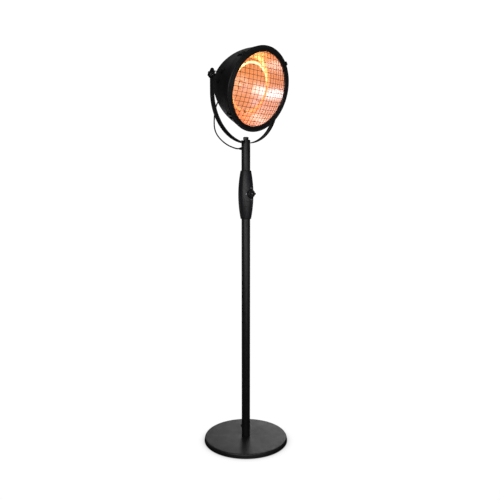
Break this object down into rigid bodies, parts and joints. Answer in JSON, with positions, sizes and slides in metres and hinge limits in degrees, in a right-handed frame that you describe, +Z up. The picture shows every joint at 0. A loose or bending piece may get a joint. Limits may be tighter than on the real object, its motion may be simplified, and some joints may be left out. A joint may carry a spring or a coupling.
{
  "type": "outdoor heater",
  "caption": "Free-standing electric infrared heater: round weighted base, pole with control housing and knob, and a guarded bell-shaped lamp head that tilts in a U-shaped yoke.",
  "frame": {"origin": "centre of the base's underside, on the pole's axis", "axes": "+Z up along the pole; -Y is the front, where the control knob and the lamp face; +X is along the head's tilt axis"},
  "size_m": [0.426, 0.4187, 1.8025],
  "materials": {
    "powder_coat_black": "satin fine-textured powder coat",
    "housing_black": "fine moulded texture",
    "knob_black": "satin moulded",
    "rubber_black": "matt",
    "cable_rubber": "matt rubber sheath",
    "ballast": "as cast",
    "zinc_steel": "zinc plated",
    "black_steel": "black oxide",
    "guard_wire": "heat-resistant black",
    "reflector_aluminium": "polished",
    "lamp_quartz": "clear quartz, glowing",
    "ceramic_white": "unglazed",
    "white_plastic": "moulded"
  },
  "bodies": {
    "stand": {"base_pad": "rubber_black", "base_weight": "ballast", "base_cover": "powder_coat_black", "tube_foot": "zinc_steel", "base_washer": "zinc_steel", "base_bolt": "zinc_steel", "lower_tube": "powder_coat_black", "mains_gland": "rubber_black", "housing_front": "housing_black", "housing_rear": "housing_black", "housing_screw_lower": "black_steel", "housing_screw_upper": "black_steel", "joiner_tube": "zinc_steel", "rotary_switch": "white_plastic", "terminal_block": "white_plastic", "tip_over_switch": "housing_black", "neck_tube": "powder_coat_black", "neck_plug": "zinc_steel", "neck_screw": "black_steel", "neck_gland": "rubber_black", "yoke_strap": "powder_coat_black", "yoke_washer": "black_steel", "yoke_bolt": "black_steel", "pivot_washer_right": "zinc_steel", "pivot_washer_left": "zinc_steel", "lamp_cable": "cable_rubber"},
    "dial": {"control_knob": "knob_black", "switch_shaft": "zinc_steel"},
    "lamp_head": {"head_shell": "powder_coat_black", "rear_cover": "powder_coat_black", "front_ring": "powder_coat_black", "grille": "guard_wire", "reflector": "reflector_aluminium", "lamp_ring": "lamp_quartz", "lamp_holder_right": "ceramic_white", "lamp_holder_left": "ceramic_white", "lamp_support_1": "zinc_steel", "lamp_support_2": "zinc_steel", "lamp_support_3": "zinc_steel", "reflector_hub": "zinc_steel", "reflector_bracket": "zinc_steel", "head_terminal_block": "ceramic_white", "head_gland": "rubber_black", "ring_clip_1": "black_steel", "ring_clip_2": "black_steel", "ring_clip_3": "black_steel", "ring_clip_4": "black_steel", "head_bracket_right": "powder_coat_black", "head_bracket_left": "powder_coat_black", "bracket_screw_right_upper": "black_steel", "bracket_screw_right_lower": "black_steel", "bracket_screw_left_upper": "black_steel", "bracket_screw_left_lower": "black_steel", "pivot_bolt_right": "black_steel", "pivot_bolt_left": "black_steel", "pivot_spacer_right": "housing_black", "pivot_spacer_left": "housing_black"},
    "tilt_lock_right": {"clamp_knob_right": "knob_black"},
    "tilt_lock_left": {"clamp_knob_left": "knob_black"}
  },
  "joints": [
    {"name": "head_tilt", "type": "hinge", "parent": "stand", "child": "lamp_head", "pos_m": [0, 0, 1.675], "axis": [1, 0, 0], "range_deg": [-17, 28], "deforming": ["lamp_cable"]},
    {"name": "dial_turn", "type": "hinge", "parent": "stand", "child": "dial", "pos_m": [0, -0.04, 1.181], "axis": [0, -1, 0], "range_deg": [-90, 90]},
    {"name": "lock_right_turn", "type": "hinge", "parent": "lamp_head", "child": "tilt_lock_right", "pos_m": [0.208, 0, 1.675], "axis": [1, 0, 0], "range_deg": [0, 360]},
    {"name": "lock_left_turn", "type": "hinge", "parent": "lamp_head", "child": "tilt_lock_left", "pos_m": [-0.208, 0, 1.675], "axis": [-1, 0, 0], "range_deg": [0, 360]}
  ]
}
